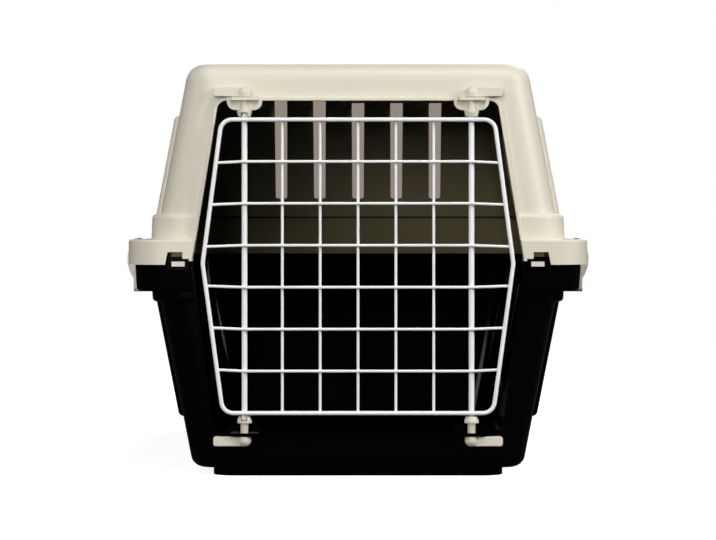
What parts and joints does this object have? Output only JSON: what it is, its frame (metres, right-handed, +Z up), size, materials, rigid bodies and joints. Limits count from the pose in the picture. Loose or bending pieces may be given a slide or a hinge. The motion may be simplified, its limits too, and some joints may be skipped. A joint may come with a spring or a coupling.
{
  "type": "pet carrier",
  "caption": "Small two-part plastic pet carrier with a hinged wire door on rotary pins, side clips and a folding carry handle in the roof.",
  "frame": {"origin": "on the floor, under the middle of the whole carrier's box", "axes": "+Z up, the door faces -Y, +X to the right of someone facing the door"},
  "size_m": [0.342, 0.48, 0.292],
  "materials": {
    "cream_plastic": "fine moulded grain, slight sheen",
    "black_plastic": "fine moulded grain, slight sheen",
    "white_wire": "white coated steel wire"
  },
  "bodies": {
    "shell": {"lower_shell": "black_plastic", "upper_shell": "cream_plastic"},
    "door": {"door_frame": "white_wire", "door_rod_left": "white_wire", "door_rod_right": "white_wire", "door_upright_1": "white_wire", "door_upright_2": "white_wire", "door_upright_3": "white_wire", "door_upright_4": "white_wire", "door_upright_5": "white_wire", "door_crossbar_1": "white_wire", "door_crossbar_2": "white_wire", "door_crossbar_3": "white_wire", "door_crossbar_4": "white_wire", "door_crossbar_5": "white_wire", "door_crossbar_6": "white_wire"},
    "pin_top_left": {"pin_top_left": "cream_plastic"},
    "pin_top_right": {"pin_top_right": "cream_plastic"},
    "pin_bottom_left": {"pin_bottom_left": "cream_plastic"},
    "pin_bottom_right": {"pin_bottom_right": "cream_plastic"},
    "clip_front_left": {"clip_front_left": "cream_plastic"},
    "clip_front_right": {"clip_front_right": "cream_plastic"},
    "clip_rear_left": {"clip_rear_left": "cream_plastic"},
    "clip_rear_right": {"clip_rear_right": "cream_plastic"},
    "handle": {"carry_handle": "cream_plastic"}
  },
  "joints": [
    {"name": "door_swing", "type": "hinge", "parent": "shell", "child": "door", "pos_m": [0.08, -0.2338, 0.147], "axis": [0, 0, 1], "range_deg": [0, 160]},
    {"name": "pin_top_left_turn", "type": "hinge", "parent": "shell", "child": "pin_top_left", "pos_m": [-0.08, -0.2338, 0.2646], "axis": [0, 0, 1], "range_deg": [0, 180]},
    {"name": "pin_top_right_turn", "type": "hinge", "parent": "shell", "child": "pin_top_right", "pos_m": [0.08, -0.2338, 0.2646], "axis": [0, 0, 1], "range_deg": [-180, 0]},
    {"name": "pin_bottom_left_turn", "type": "hinge", "parent": "shell", "child": "pin_bottom_left", "pos_m": [-0.08, -0.2338, 0.0318], "axis": [0, 0, 1], "range_deg": [0, 180]},
    {"name": "pin_bottom_right_turn", "type": "hinge", "parent": "shell", "child": "pin_bottom_right", "pos_m": [0.08, -0.2338, 0.0318], "axis": [0, 0, 1], "range_deg": [-180, 0]},
    {"name": "clip_front_left_swing", "type": "hinge", "parent": "shell", "child": "clip_front_left", "pos_m": [-0.1588, -0.1275, 0.1615], "axis": [0, 1, 0], "range_deg": [0, 100]},
    {"name": "clip_front_right_swing", "type": "hinge", "parent": "shell", "child": "clip_front_right", "pos_m": [0.1588, -0.1275, 0.1615], "axis": [0, -1, 0], "range_deg": [0, 100]},
    {"name": "clip_rear_left_swing", "type": "hinge", "parent": "shell", "child": "clip_rear_left", "pos_m": [-0.1588, 0.1275, 0.1615], "axis": [0, 1, 0], "range_deg": [0, 100]},
    {"name": "clip_rear_right_swing", "type": "hinge", "parent": "shell", "child": "clip_rear_right", "pos_m": [0.1588, 0.1275, 0.1615], "axis": [0, -1, 0], "range_deg": [0, 100]},
    {"name": "handle_fold", "type": "hinge", "parent": "shell", "child": "handle", "pos_m": [0, 0, 0.287], "axis": [0, -1, 0], "range_deg": [0, 90]}
  ]
}
